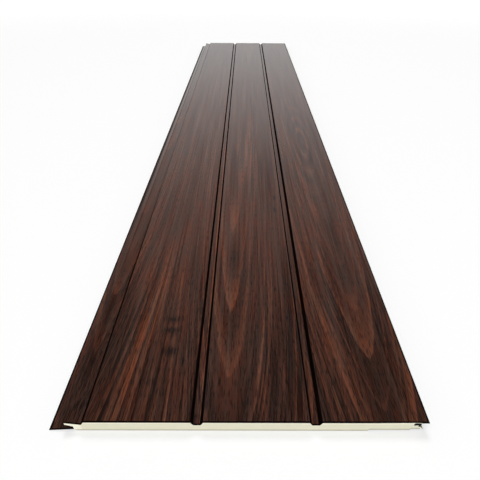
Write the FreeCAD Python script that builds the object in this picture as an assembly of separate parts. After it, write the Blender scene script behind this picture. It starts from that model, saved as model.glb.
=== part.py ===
import FreeCAD, Part
import os

# Insulated metal siding plank. A printed steel sheet is roll-formed into boards, grooves and
# joint edges, rigid foam fills it, foil covers the back, and a rubber seal sits in the joint.
# X runs across the plank, Y along it, and Z up from the surface that the back lies on.
# Sections are drawn with x = 0 at the left edge of the boards, then centred across the plank.

# Driving dimensions, in millimetres
PLANK_LENGTH = 2000.0
PLANK_THICKNESS = 16.0
SHEET_THICKNESS = 0.5
FOIL_THICKNESS = 0.2

# Boards, and the pressed groove between each two
BOARD_COUNT = 3
BOARD_WIDTH = 114.0
GROOVE_TOP_WIDTH = 13.7
GROOVE_FLOOR_WIDTH = 7.6
GROOVE_DEPTH = 5.2

# Left edge: a step down to the tongue, and below it a flange that is screwed to the wall
STEP_RUN = 3.4
STEP_DROP = 5.0
NOSE_HEIGHT = 3.6
WEB_SETBACK = 12.7
TONGUE_GAP = 3.8
FLANGE_WIDTH = 27.0
FLANGE_ROOT_HEIGHT = 3.0
FLANGE_EDGE_HEIGHT = 0.6

# Right edge: a folded hem that overhangs the foam and covers the next plank's tongue
HEM_WIDTH = 8.0
HEM_GAP = 0.4
JOINT_CLEARANCE = 0.3

# Back: a chamfer below the flange, and a raised margin that clears the next plank's flange
CHAMFER_RUN = 3.0
RISER_RUN = 2.5
FASTENER_ROOM = 36.0
FLANGE_CLEARANCE = 0.8
DEEP_MARGIN_WIDTH = 12.0

# Seal: a flat root in the foam, a heel that turns down, and a thin lip that stands out below the hem
SEAL_ROOT_DEPTH = 8.0
SEAL_BEND_DEPTH = 1.8
SEAL_COVER = 1.6
SEAL_THICKNESS = 3.0
SEAL_HEEL_DEPTH = 0.4
SEAL_HEEL_DROP = 5.0
SEAL_HEEL_WIDTH = 1.9
SEAL_REACH = 3.2
SEAL_LIP_THICKNESS = 0.7
SEAL_LIP_DROP = 11.6

# Inside radii of the bends
SHEET_BEND = 0.6
GROOVE_BEND = 1.2
FOIL_BEND = 0.8
SEAL_ROUNDING = 0.2

# Two points of an outline that are nearer than this are one point
SAME_POINT = 1e-6

# Sizes that follow from the driving dimensions
face_width = BOARD_COUNT * BOARD_WIDTH + (BOARD_COUNT - 1) * GROOVE_TOP_WIDTH
cover_width = face_width + GROOVE_TOP_WIDTH
hem_thickness = 2 * SHEET_THICKNESS + HEM_GAP
core_side_x = face_width - HEM_WIDTH
web_x = -WEB_SETBACK
core_wall_x = web_x + SHEET_THICKNESS
flange_edge_x = web_x - FLANGE_WIDTH
tongue_reach = GROOVE_TOP_WIDTH + HEM_WIDTH - JOINT_CLEARANCE
nose_top_z = PLANK_THICKNESS - hem_thickness - JOINT_CLEARANCE
centre_x = (flange_edge_x + face_width) / 2


def right_of(start, end):
    """Unit vector to the right of the way from start to end, in the section's x and z."""
    run = end[0] - start[0]
    rise = end[1] - start[1]
    length = (run * run + rise * rise) ** 0.5
    return rise / length, -run / length


def bent_strip(path, thickness):
    """Two sides of a bent strip: the path itself, and the side at the path's right.

    Each point of path is x, z and the inside radius of the bend there. A bend has its inside
    radius on one side of the strip, and that radius plus the thickness on the other.
    """
    left_side = []
    right_side = []
    for index, (x, z, radius) in enumerate(path):
        before = path[max(index - 1, 0):index + 1]
        after = path[index:index + 2]
        normals = [right_of(*leg) for leg in (before, after) if len(leg) == 2]
        first = normals[0]
        last = normals[-1]
        share = thickness / (1 + first[0] * last[0] + first[1] * last[1])
        outer = radius + thickness if radius else 0
        turns_right = first[1] * last[0] - first[0] * last[1] > 0
        left_side.append((x, z, outer if turns_right else radius))
        right_side.append((x + share * (first[0] + last[0]),
                           z + share * (first[1] + last[1]),
                           radius if turns_right else outer))
    return left_side, right_side


def rounded_corner(before, corner, after, radius):
    """Start, middle and end of the arc that rounds a corner and is tangent to both its legs."""
    back = (before - corner).normalize()
    ahead = (after - corner).normalize()
    inward = (back + ahead).normalize()
    half_cosine = back.dot(inward)
    half_sine = (1 - half_cosine * half_cosine) ** 0.5
    reach = radius * half_cosine / half_sine
    middle = corner + inward * (radius / half_sine - radius)
    return corner + back * reach, middle, corner + ahead * reach


def section_solid(corners):
    """Solid along the plank's length from a closed outline of corners x, z and radius."""
    points = [FreeCAD.Vector(x - centre_x, -PLANK_LENGTH / 2, z) for x, z, radius in corners]
    bends = []
    for index, corner in enumerate(points):
        radius = corners[index][2]
        after = points[(index + 1) % len(points)]
        bend = rounded_corner(points[index - 1], corner, after, radius) if radius else [corner]
        bends.append(bend)
    edges = []
    for index, bend in enumerate(bends):
        if len(bend) > 1:
            edges.append(Part.Arc(*bend).toShape())
        next_start = bends[(index + 1) % len(bends)][0]
        if bend[-1].distanceToPoint(next_start) > SAME_POINT:
            edges.append(Part.LineSegment(bend[-1], next_start).toShape())
    face = Part.Face(Part.Wire(edges))
    return face.extrude(FreeCAD.Vector(0, PLANK_LENGTH, 0))


def groove_path(left_x):
    """Printed side of one groove: down a sloping wall, across the floor and up again."""
    floor_z = PLANK_THICKNESS - GROOVE_DEPTH
    wall_run = (GROOVE_TOP_WIDTH - GROOVE_FLOOR_WIDTH) / 2
    right_x = left_x + GROOVE_TOP_WIDTH
    return [(left_x, PLANK_THICKNESS, GROOVE_BEND),
            (left_x + wall_run, floor_z, GROOVE_BEND),
            (right_x - wall_run, floor_z, GROOVE_BEND),
            (right_x, PLANK_THICKNESS, GROOVE_BEND)]


def left_edge_path():
    """Printed side of the left edge: flange, web, underside of the tongue, nose, top and step."""
    return [(flange_edge_x, FLANGE_EDGE_HEIGHT, 0),
            (web_x, FLANGE_ROOT_HEIGHT, SHEET_BEND),
            (web_x, FLANGE_ROOT_HEIGHT + TONGUE_GAP, SHEET_BEND),
            (-tongue_reach, nose_top_z - NOSE_HEIGHT, SHEET_BEND),
            (-tongue_reach, nose_top_z, SHEET_BEND),
            (-STEP_RUN, PLANK_THICKNESS - STEP_DROP, SHEET_BEND),
            (0, PLANK_THICKNESS, SHEET_BEND)]


def hem_path():
    """Printed side of the right edge, folded back under itself as far as the foam."""
    return [(face_width, PLANK_THICKNESS, HEM_GAP / 2),
            (face_width, PLANK_THICKNESS - hem_thickness, HEM_GAP / 2),
            (core_side_x, PLANK_THICKNESS - hem_thickness, 0)]


def sheet_path():
    """Printed side of the whole sheet, from the flange's edge to the end of the hem."""
    path = left_edge_path()
    for index in range(1, BOARD_COUNT):
        path += groove_path(index * BOARD_WIDTH + (index - 1) * GROOVE_TOP_WIDTH)
    return path + hem_path()


def flange_top_under(x):
    """Height of the next plank's flange where it lies below this plank's right margin."""
    from_edge = x - (cover_width + flange_edge_x)
    return FLANGE_EDGE_HEIGHT + from_edge * (FLANGE_ROOT_HEIGHT - FLANGE_EDGE_HEIGHT) / FLANGE_WIDTH


def back_path():
    """Foam's back from the web to the right edge, stepped up twice over the next flange."""
    deep_x = core_side_x - DEEP_MARGIN_WIDTH
    margin_x = cover_width + flange_edge_x - FASTENER_ROOM
    margin_z = FOIL_THICKNESS + flange_top_under(deep_x) + FLANGE_CLEARANCE
    deep_z = FOIL_THICKNESS + FLANGE_ROOT_HEIGHT + FLANGE_CLEARANCE
    return [(core_wall_x, FLANGE_ROOT_HEIGHT - SHEET_THICKNESS, 0),
            (core_wall_x + CHAMFER_RUN, FOIL_THICKNESS, FOIL_BEND),
            (margin_x - RISER_RUN, FOIL_THICKNESS, FOIL_BEND),
            (margin_x, margin_z, FOIL_BEND),
            (deep_x, margin_z, FOIL_BEND),
            (deep_x + RISER_RUN, deep_z, FOIL_BEND),
            (core_side_x, deep_z, 0)]


def seal_outline():
    """Seal's section: a flat root, a heel that turns down at the foam's edge, and a thin lip."""
    top_z = PLANK_THICKNESS - SHEET_THICKNESS - SEAL_COVER
    root_z = top_z - SEAL_THICKNESS
    heel_z = top_z - SEAL_HEEL_DROP
    lip_z = PLANK_THICKNESS - SEAL_LIP_DROP
    root_x = core_side_x - SEAL_ROOT_DEPTH
    bend_x = core_side_x - SEAL_BEND_DEPTH
    heel_x = core_side_x - SEAL_HEEL_DEPTH
    lip_x = core_side_x + SEAL_REACH
    heel_slope = (heel_x - bend_x) / SEAL_HEEL_DROP
    inner_x = bend_x - SEAL_HEEL_WIDTH + heel_slope * SEAL_THICKNESS
    return [(root_x, top_z, SEAL_ROUNDING),
            (bend_x, top_z, SEAL_ROUNDING),
            (heel_x, heel_z, SEAL_ROUNDING),
            (lip_x, lip_z, 0),
            (lip_x - SEAL_LIP_THICKNESS, lip_z, 0),
            (heel_x - SEAL_LIP_THICKNESS, heel_z, 0),
            (heel_x - SEAL_HEEL_WIDTH, heel_z, SEAL_ROUNDING),
            (inner_x, root_z, SEAL_ROUNDING),
            (root_x, root_z, SEAL_ROUNDING)]


def core_outline(sheet_back, foil_inside):
    """Foam's section between the back of the sheet, the right edge and the inside of the foil."""
    along_sheet = sheet_back[2:-3]
    top_right = (core_side_x, PLANK_THICKNESS - SHEET_THICKNESS, 0)
    return along_sheet + [top_right] + foil_inside[::-1]


printed_side, sheet_back = bent_strip(sheet_path(), SHEET_THICKNESS)
foil_inside, foil_outside = bent_strip(back_path(), FOIL_THICKNESS)
seal = section_solid(seal_outline())

solids = {
    "face_sheet": section_solid(printed_side + sheet_back[::-1]),
    "foam_core": section_solid(core_outline(sheet_back, foil_inside)).cut(seal),
    "backing_foil": section_solid(foil_inside + foil_outside[::-1]),
    "seal_strip": seal,
}

os.makedirs("parts", exist_ok=True)
for name, solid in solids.items():
    solid.exportStep("parts/" + name + ".step")
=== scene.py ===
import math
from types import SimpleNamespace

import bpy
import numpy as np
from bpy.props import FloatProperty, FloatVectorProperty, IntProperty, PointerProperty
from mathutils import Matrix, Vector


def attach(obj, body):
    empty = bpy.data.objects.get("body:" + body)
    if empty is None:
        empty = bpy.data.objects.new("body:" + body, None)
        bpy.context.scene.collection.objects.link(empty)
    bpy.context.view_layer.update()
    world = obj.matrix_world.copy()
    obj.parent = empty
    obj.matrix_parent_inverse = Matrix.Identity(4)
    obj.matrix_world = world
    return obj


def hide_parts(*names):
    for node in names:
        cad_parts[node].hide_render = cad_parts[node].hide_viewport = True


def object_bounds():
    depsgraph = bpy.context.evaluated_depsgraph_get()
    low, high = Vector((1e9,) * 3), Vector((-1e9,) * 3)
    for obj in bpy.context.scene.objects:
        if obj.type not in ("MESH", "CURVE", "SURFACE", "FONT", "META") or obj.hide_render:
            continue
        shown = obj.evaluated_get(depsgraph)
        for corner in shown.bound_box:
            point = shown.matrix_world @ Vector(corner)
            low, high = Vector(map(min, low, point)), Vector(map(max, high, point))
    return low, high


bl_info = {
    "name": "Insulated siding plank",
    "version": (1, 0, 0),
    "blender": (4, 5, 0),
    "location": "View3D > Sidebar > Plank",
    "description": "Builds a wood-printed metal siding plank with its foam core, foil and seal",
    "category": "Add Mesh",
}

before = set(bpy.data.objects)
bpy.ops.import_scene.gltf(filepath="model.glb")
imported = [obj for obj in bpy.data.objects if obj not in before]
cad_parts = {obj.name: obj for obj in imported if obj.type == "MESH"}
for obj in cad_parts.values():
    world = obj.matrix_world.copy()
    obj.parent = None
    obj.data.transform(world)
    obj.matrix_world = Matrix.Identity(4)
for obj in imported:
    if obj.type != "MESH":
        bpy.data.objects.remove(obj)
cad_low, cad_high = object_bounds()

# Mesh: points of a bend, stations along the plank, and soft edges and half widths in metres
BODY = "root"
MM = 0.001
ARC_STEPS = 7
SHEET_STATIONS = 41
END_STATIONS = 2
SMOOTH_ANGLE = math.radians(35)
CREASE_EDGE = 0.0004
FLAT_EDGE = 0.0001
NOSE_BEND = 0.0012

# Corners of the sheet's path, counted from the flange's edge, and those over the foam
FLANGE_EDGE = 0
WEB_FOOT = 1
NOSE_TOP = 4
STEP_FOOT = 5
STEP_TOP = 6
FIRST_GROOVE = 7
GROOVE_CORNERS = 4
OVER_FOAM = slice(2, -3)

# Corners at the foot and head of each riser in the foam's back
BACK_RISERS = (slice(2, 4), slice(4, 6))

# Figures of the wood print from left to right: where each ends across the sheet, then its lines' values
PRINT_LEFT = -1.0
LINE_VALUES = ("axis", "half_width", "start", "pace", "stretch", "fan")
GRAIN_FIGURES = (
    (-0.0025, -0.0200, 0.0150, 28.110, 8.000, 0.600, 0.0),
    (0.1240, 0.0690, 0.0105, 45.300, 0.000, 0.600, 1.0),
    (0.2575, 0.1580, 0.0220, 6.679, 1.867, 0.102, 0.0),
    (1.0000, 0.3360, 0.0205, 14.120, 5.100, 0.295, 0.0),
)

# Spots of the print: place across and along, half width, half length, how much lighter or darker, and
# the number of rings within the half width
SPOTS = (
    # Knots of the left board, and specks at the middle board's edge
    (0.0765, 0.1470, 0.0070, 0.0050, -0.45, 0.0),
    (0.0765, 0.1280, 0.0080, 0.0045, -0.50, 0.0),
    (0.0775, 0.0940, 0.0080, 0.0065, -0.40, 0.0),
    (0.2355, 0.4730, 0.0022, 0.0070, -0.50, 0.0),
    (0.2330, 0.4290, 0.0022, 0.0070, -0.35, 0.0),
    # Streaks and hearts near the end
    (0.1985, 0.0600, 0.0050, 0.1400, 0.20, 0.0),
    (0.1262, 0.3000, 0.0011, 0.6000, 0.45, 0.0),
    (0.1580, 0.4000, 0.0080, 0.0600, 0.16, 0.0),
    (0.1585, 0.2800, 0.0095, 0.0440, -0.30, 0.0),
    (0.3360, 0.1450, 0.0170, 0.0700, 0.20, 0.0),
    (0.3350, 0.3300, 0.0120, 0.0800, -0.22, 0.0),
    # Lighter and darker patches
    (-0.0170, 0.0950, 0.0120, 0.0650, -0.22, 0.0),
    (0.0420, 0.1300, 0.0190, 0.1900, 0.08, 0.0),
    (0.0940, 0.2400, 0.0120, 0.1200, -0.12, 0.0),
    (0.0110, 0.1500, 0.0060, 0.0700, -0.14, 0.0),
    (0.0400, 0.4300, 0.0220, 0.0800, -0.10, 0.0),
    (0.0550, 0.0500, 0.0700, 0.1300, 0.03, 0.0),
    (0.3300, 0.3000, 0.0500, 0.0900, 0.05, 0.0),
    (0.1850, 0.1500, 0.0450, 0.3000, -0.06, 0.0),
    (-0.0330, 0.0700, 0.0070, 0.1200, 0.14, 0.0),
    # Streaks further along the middle and right boards
    (0.1690, 0.5500, 0.0050, 0.0800, 0.14, 0.0),
    (0.1810, 0.6900, 0.0045, 0.0900, 0.16, 0.0),
    (0.1880, 0.8200, 0.0045, 0.0900, 0.16, 0.0),
    (0.1920, 0.9400, 0.0045, 0.0900, 0.14, 0.0),
    (0.2999, 0.5870, 0.0025, 0.0600, 0.14, 0.0),
    (0.3079, 0.5060, 0.0030, 0.0550, 0.15, 0.0),
    (0.3159, 0.4430, 0.0030, 0.0450, 0.13, 0.0),
    # Ringed eye of the right board
    (0.3265, 0.7600, 0.0340, 0.2600, 0.16, 3.0),
)

# Wood lines. Two scales are across and along the board. Four numbers are a smooth step: the places where
# it starts and ends, and its value at each
NOISE_MIDDLE = 0.5
WANDER = 0.010
WANDER_SCALES = (14.0, 2.6)
ARCH_ROUNDING = 0.04
ARCH_POWER = 0.75
ARCH_SIDE = (0.3, 1.6, 0.2, 1.0)
FAN_PACE = 3.0
FAN_LIMIT = 2.6

# Growth rings
RIPPLE = 0.40
RIPPLE_SCALES = (90.0, 9.0)
RIPPLE_LAYER = 4.0
RING_RISE = 1.5
RING_FALL = (0.92, 1.0, 1.0, 0.0)
GOLDEN_SHARE = 0.618034
FIRST_STRENGTH = 0.45
LEAST_STRENGTH = 0.25

# Noises of the wood fibres: what they run across, scale across it and along the board, detail, roughness
FIBRE_NOISES = {
    "ring streak": ("Rings", 2.1, 3.5, 1.0, 0.5),
    "board streak": ("Across", 190.0, 7.0, 1.0, 0.5),
    "broad streak": ("Rings", 0.55, 1.6, 1.0, 0.5),
    "line": ("Rings", 1.3, 1.5, 3.0, 0.6),
    "fibre": ("Rings", 5.2, 8.0, 2.0, 0.6),
    "pore": ("Across", 900.0, 70.0, 1.0, 0.5),
    "hue": ("Across", 70.0, 15.0, 2.0, 0.6),
    "fine faint": ("Across", 320.0, 2.2, 3.0, 0.6),
    # Painted sheen: broad pale streaks that stand in for streaks in the gloss
    "broad sheen": ("Across", 95.0, 2.6, 2.0, 0.6),
}
RING_STREAK = 0.26
BOARD_STREAK = 0.28
BROAD_STREAK = 0.46
LINE_EDGE = (0.0, 0.035, 1.0, 0.0)
PORE_EDGE = (-0.02, 0.18)
FINE_FAINT = 0.078
# Share of the painted sheen, which grows further along
PAINTED_SHEEN = (0.2, 0.7, 0.050, 0.105)

# Tone of the print: shares of what makes it, and its contrast and ground along the plank
RING_SHARE = 0.44
STREAK_SHARE = 0.42
STREAK_EDGE = (0.33, 0.67)
FIBRE_SHARES = {"Fibre": 0.90, "Line": -0.22, "Pore": -0.32}
TONE_OFFSET = -0.265
PRINT_CONTRAST = (0.02, 0.40, 0.92, 0.41)
PRINT_GROUND = (0.90, 1.90, 0.40, 0.25)

# Colour of the print
BLACK = (0.0, 0.0, 0.0)
WHITE = (1.0, 1.0, 1.0)
MIDDLE_TONE = 0.40
HUE_TINTS = ((0.35, (0.82, 0.97, 1.0)), (0.65, (1.0, 0.86, 0.74)))
# Colour of the faint streaks and of the painted sheen
STREAK_COLOUR = (1.0, 0.74, 0.64)
JOINT_EDGE = (-0.004, -0.002, 1.0, 0.0)
JOINT_DUST = (0.30, 1.50, 0.00, 0.19)
# Painted shade: the print darkens towards the near end, where less light falls
NEAR_SHADE = (0.00, 0.36, 0.55, 1.00)
FLANGE_PRINT_SHIFT = 0.0028

# Painted shade: a dark rim beside the cut ends, and dark folds where shade falls in creases, grooves and
# bends, whose shares change from near to far between two places
RIM_WIDTH = 0.0020
RIM_CORE = 0.6
FOLD_SHADE_SHARE = 0.95
FOLD_SHADE_FADE = (0.25, 0.50)

# Foam: cells, a back band of foil edge and painted shade, paler foam below the face and in the tongue,
# painted shadow of the sheet
CELL_SCALE = 900.0
CELL_BUMP = (0.6, 0.0004)
BLOTCH_SCALE = 120.0
FOAM_SHADE = 0.10
BACK_EDGE_AND_SHADE = (0.0008, 0.0032, 0.75, 0.0)
FRESH_DEPTHS = (0.0040, 0.0008)
FRESH_TONGUE = (-0.006, -0.002, 1.0, 0.0)
SHEET_SHADOW = 0.0008
SHADOW_CORE = 0.6
SHADOW_FROM_SIDE = (0.060, 0.015)

# Dark band in the seal's colour on the foam around the seal: its width, and its height in shares of the
# seal's thickness
SEAL_BAND = 0.0011
SEAL_BAND_MIDDLE = 0.35
SEAL_BAND_REACH = (0.6, 0.8)

# Foil and rubber: roughness is a least value and what the noise adds, a bump is strength and distance
CREASE_SCALE = 35.0
EMBOSS_SCALE = 420.0
EMBOSS_SHARE = 0.4
FOIL_DULLING = 0.75
FOIL_ROUGHNESS = (0.28, 0.25)
FOIL_BUMP = (0.5, 0.0004)
BLOOM_SCALE = 160.0
BLOOM_GAIN = 2.5
LIP_DUST = 0.75
SEAL_ROUGHNESS = (0.45, 0.30)
SEAL_BUMP = (0.2, 0.0003)

# Camera of the photograph
CAMERA_PLACE = (0.00578, -1.24191, 0.43082)
CAMERA_PITCH = math.radians(35.942)
CAMERA_YAW = math.radians(0.281)
CAMERA_ROLL = math.radians(0.396)
CAMERA_CLIP = (0.01, 200.0)
FOCAL_PIXELS = 413.56
OFFSET_PIXELS = 5.79
IMAGE_PIXELS = 480
SENSOR = 36.0

# Floor, and the part of its white that no lamp gives
FLOOR_HALF = 30.0
FLOOR_COLOUR = (0.50, 0.50, 0.50, 1.0)
FLOOR_LIFT = (1.2, 8.0, 0.472, 1.0)

# Lamps: name, place, target, size, power, and whether the gloss mirrors it
LAMPS = (
    ("Key", (-3.0, -2.5, 7.0), (0.0, 0.0, 0.0), 4.0, 125.0, True),
    ("Fill", (4.0, -2.0, 6.0), (0.0, 0.0, 0.0), 4.0, 90.0, True),
    ("Front", (0.0, -5.0, 2.0), (0.0, -1.0, 0.0), 2.0, 82.0, False),
    ("Back", (0.0, 3.5, 7.0), (0.0, 0.0, 0.0), 3.0, 285.0, False),
)

# Light of the studio by the sine of the height above the horizon
SKY_LEVELS = ((0.18, 1.0), (0.23, 0.93), (0.30, 0.79), (0.39, 0.57), (0.49, 0.37), (0.59, 0.23),
              (0.68, 0.12), (0.75, 0.07), (0.85, 0.03), (1.0, 0.025))


def length_property(name, description, default_mm):
    """A length in metres whose default is given in millimetres."""
    return FloatProperty(name=name, description=description, default=default_mm * MM,
                         min=0.0, unit="LENGTH", precision=5)


def colour_property(name, description, default):
    """A linear colour."""
    return FloatVectorProperty(name=name, description=description, default=default,
                               size=3, min=0.0, max=1.0, subtype="COLOR")


class PlankSizes(bpy.types.PropertyGroup):
    """Sizes of the plank's section, which is the same along the whole length."""

    length: FloatProperty(name="Length", description="Length of the plank",
                          default=cad_high.y - cad_low.y, unit="LENGTH")
    thickness: FloatProperty(name="Thickness", description="Height of the boards' face",
                             default=cad_high.z - cad_low.z, unit="LENGTH", precision=5)
    sheet: length_property("Sheet", "Thickness of the printed sheet", 0.5)
    foil: length_property("Foil", "Thickness of the foil on the back", 0.2)
    board_count: IntProperty(name="Boards", description="Number of boards", default=3, min=1)
    board_width: length_property("Board width", "Flat width of one board", 114.0)
    groove_top: length_property("Groove top", "Width of a groove between boards", 13.7)
    groove_floor: length_property("Groove floor", "Width of a groove's floor", 7.6)
    groove_depth: length_property("Groove depth", "Depth of a groove", 5.2)
    step_run: length_property("Step run", "Width of the step beside the first board", 3.4)
    step_drop: length_property("Step drop", "Drop of that step to the tongue", 5.0)
    nose_height: length_property("Nose height", "Height of the tongue's nose", 3.6)
    web_setback: length_property("Web setback", "From the first board to the web", 12.7)
    tongue_gap: length_property("Tongue gap", "Height of the web over the flange", 3.8)
    flange_width: length_property("Flange width", "Width of the fixing flange", 27.0)
    flange_root: length_property("Flange root", "Height of the flange at the web", 3.0)
    flange_edge: length_property("Flange edge", "Height of the flange's outer edge", 0.6)
    hem_width: length_property("Hem width", "Width of the folded right edge", 8.0)
    hem_gap: length_property("Hem gap", "Space inside the fold", 0.4)
    joint_clearance: length_property("Joint clearance", "Play between joined planks", 0.3)
    chamfer_run: length_property("Chamfer", "Slope of the back below the web", 3.0)
    riser_run: length_property("Riser run", "Width of each step in the back", 2.5)
    fastener_room: length_property("Fastener room", "Raised margin beyond the next flange", 36.0)
    flange_clearance: length_property("Flange clearance", "Play over the next flange", 0.8)
    deep_margin: length_property("Deep margin", "Width of the deeper margin at the edge", 12.0)
    seal_root_depth: length_property("Seal root", "Depth of the seal in the foam", 8.0)
    seal_bend_depth: length_property("Seal bend", "Where the seal turns down", 1.8)
    seal_cover: length_property("Seal cover", "Foam above the seal", 1.6)
    seal_thickness: length_property("Seal thickness", "Thickness of the seal's root", 3.0)
    seal_heel_depth: length_property("Seal heel depth", "From the foam's side to the heel", 0.4)
    seal_heel_drop: length_property("Seal heel drop", "Height of the heel", 5.0)
    seal_heel_width: length_property("Seal heel width", "Width of the heel", 1.9)
    seal_reach: length_property("Seal reach", "Reach of the lip beyond the foam", 3.2)
    seal_lip: length_property("Seal lip", "Thickness of the lip", 0.7)
    seal_drop: length_property("Seal drop", "Depth of the lip below the face", 11.6)
    sheet_bend: length_property("Sheet bend", "Inside radius of the sheet's bends", 0.6)
    groove_bend: length_property("Groove bend", "Inside radius of the grooves' bends", 1.2)
    foil_bend: length_property("Foil bend", "Radius of the back's bends", 0.8)
    seal_rounding: length_property("Seal rounding", "Radius of the seal's corners", 0.2)


class PlankColours(bpy.types.PropertyGroup):
    """Colours of the plank's finishes."""

    grain_dark: colour_property("Dark grain", "Darkest lines of the wood print", (0.0231, 0.0110, 0.0085))
    grain_mid: colour_property("Middle grain", "Ground of the wood print", (0.0800, 0.0298, 0.0193))
    grain_light: colour_property("Light grain", "Lightest streaks of the wood print",
                                 (0.3480, 0.1150, 0.0615))
    back_coat: colour_property("Back coat", "Primer on the sheet's back", (0.30, 0.31, 0.30))
    foam: colour_property("Foam", "Rigid foam", (0.845, 0.822, 0.646))
    foam_fresh: colour_property("Fresh foam", "Paler foam next to the sheet", (0.97, 0.93, 0.76))
    # Also the colour of the band along the back, which paints the foil's cut edge and the shade where the
    # plank meets the floor
    foam_skin_and_shade: colour_property("Foam skin", "Denser foam along the back", (0.42, 0.39, 0.28))
    # Near black for the bare cut edges, and the colour of the painted shade on the sheet's folds, beside its
    # ends and on the foam below it
    cut_edge_and_shade: colour_property("Cut edge", "Bare edges and creases of the sheet", (0.0018, 0.0012, 0.0011))
    foil: colour_property("Foil", "Foil on the back", (0.72, 0.73, 0.74))
    seal: colour_property("Seal", "Rubber seal", (0.003, 0.003, 0.003))


def section_places(s):
    """Places across and up the section that follow from the sizes."""
    at = SimpleNamespace()
    at.face_width = s.board_count * s.board_width + (s.board_count - 1) * s.groove_top
    at.cover_width = at.face_width + s.groove_top
    at.hem_thickness = 2 * s.sheet + s.hem_gap
    at.core_side = at.face_width - s.hem_width
    at.web = -s.web_setback
    at.core_wall = at.web + s.sheet
    at.flange_edge = at.web - s.flange_width
    at.nose = s.joint_clearance - s.groove_top - s.hem_width
    at.nose_top = s.thickness - at.hem_thickness - s.joint_clearance
    at.centre = (at.flange_edge + at.face_width) / 2
    at.groove_lefts = [k * s.board_width + (k - 1) * s.groove_top for k in range(1, s.board_count)]
    return at


def sheet_path(s, at):
    """Printed side of the sheet from the flange's edge to the end of the hem: x, z, bend radius."""
    bend = s.sheet_bend
    path = [(at.flange_edge, s.flange_edge, 0),
            (at.web, s.flange_root, bend),
            (at.web, s.flange_root + s.tongue_gap, bend),
            (at.nose, at.nose_top - s.nose_height, bend),
            (at.nose, at.nose_top, bend),
            (-s.step_run, s.thickness - s.step_drop, bend),
            (0, s.thickness, bend)]
    wall_run = (s.groove_top - s.groove_floor) / 2
    floor_z = s.thickness - s.groove_depth
    for left in at.groove_lefts:
        right = left + s.groove_top
        path += [(left, s.thickness, s.groove_bend),
                 (left + wall_run, floor_z, s.groove_bend),
                 (right - wall_run, floor_z, s.groove_bend),
                 (right, s.thickness, s.groove_bend)]
    hem_z = s.thickness - at.hem_thickness
    path += [(at.face_width, s.thickness, s.hem_gap / 2),
             (at.face_width, hem_z, s.hem_gap / 2),
             (at.core_side, hem_z, 0)]
    return np.array(path)


def back_path(s, at):
    """Foam's back from the web to the right edge, stepped up twice over the next plank's flange."""
    deep_x = at.core_side - s.deep_margin
    margin_x = at.cover_width + at.flange_edge - s.fastener_room
    slope = (s.flange_root - s.flange_edge) / s.flange_width
    flange_below = s.flange_edge + (deep_x - at.cover_width - at.flange_edge) * slope
    margin_z = s.foil + flange_below + s.flange_clearance
    deep_z = s.foil + s.flange_root + s.flange_clearance
    return np.array([(at.core_wall, s.flange_root - s.sheet, 0),
                     (at.core_wall + s.chamfer_run, s.foil, s.foil_bend),
                     (margin_x - s.riser_run, s.foil, s.foil_bend),
                     (margin_x, margin_z, s.foil_bend),
                     (deep_x, margin_z, s.foil_bend),
                     (deep_x + s.riser_run, deep_z, s.foil_bend),
                     (at.core_side, deep_z, 0)])


def seal_places(s, at):
    """Places across and up the seal's section that follow from the sizes."""
    seal = SimpleNamespace()
    seal.top = s.thickness - s.sheet - s.seal_cover
    seal.root = at.core_side - s.seal_root_depth
    seal.root_z = seal.top - s.seal_thickness
    seal.bend = at.core_side - s.seal_bend_depth
    seal.heel = at.core_side - s.seal_heel_depth
    seal.heel_z = seal.top - s.seal_heel_drop
    seal.heel_inside = seal.heel - s.seal_heel_width
    seal.lip = at.core_side + s.seal_reach
    seal.lip_z = s.thickness - s.seal_drop
    heel_slope = (seal.heel - seal.bend) / s.seal_heel_drop
    seal.inner = seal.bend - s.seal_heel_width + heel_slope * s.seal_thickness
    return seal


def seal_outline(s, at):
    """Seal's section: a flat root, a heel that turns down at the foam's edge, and a thin lip."""
    seal = seal_places(s, at)
    rounding = s.seal_rounding
    return np.array([(seal.root, seal.top, rounding),
                     (seal.bend, seal.top, rounding),
                     (seal.heel, seal.heel_z, rounding),
                     (seal.lip, seal.lip_z, 0),
                     (seal.lip - s.seal_lip, seal.lip_z, 0),
                     (seal.heel - s.seal_lip, seal.heel_z, 0),
                     (seal.heel_inside, seal.heel_z, rounding),
                     (seal.inner, seal.root_z, rounding),
                     (seal.root, seal.root_z, rounding)])


def seal_slot(s, at):
    """Path of the foam's side around the seal, between the two places where the lip leaves the foam."""
    root, bend, heel, lip, lip_inside, heel_lip, heel_inside, inner, root_low = seal_outline(s, at)
    leaving = []
    for inside, outside in ((heel, lip), (heel_lip, lip_inside)):
        share = (at.core_side - inside[0]) / (outside[0] - inside[0])
        leaving.append((at.core_side, inside[1] + share * (outside[1] - inside[1]), 0))
    return np.vstack([leaving[0], heel, bend, root, root_low, inner, heel_inside, heel_lip, leaving[1]])


def unit(vectors):
    """Each vector divided by its own length."""
    return vectors / np.linalg.norm(vectors, axis=-1, keepdims=True)


def strip_sides(path, thickness):
    """Corners of both sides of a bent strip: the path itself, and the side at the path's right.

    At each corner the second side lies along the sum of the two legs' normals, at the distance
    that keeps the thickness. A bend has its inside radius on one side and that radius plus the
    thickness on the other.
    """
    legs = unit(np.diff(path[:, :2], axis=0))
    normals = np.column_stack([legs[:, 1], -legs[:, 0]])
    first = np.vstack([normals[:1], normals])
    last = np.vstack([normals, normals[-1:]])
    share = thickness / (1 + np.sum(first * last, axis=1))
    turns_right = first[:, 1] * last[:, 0] - first[:, 0] * last[:, 1] > 0
    inner = path[:, 2]
    outer = np.where(inner > 0, inner + thickness, 0)
    moved = path[:, :2] + share[:, None] * (first + last)
    left = np.column_stack([path[:, :2], np.where(turns_right, outer, inner)])
    right = np.column_stack([moved, np.where(turns_right, inner, outer)])
    return left, right


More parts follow.
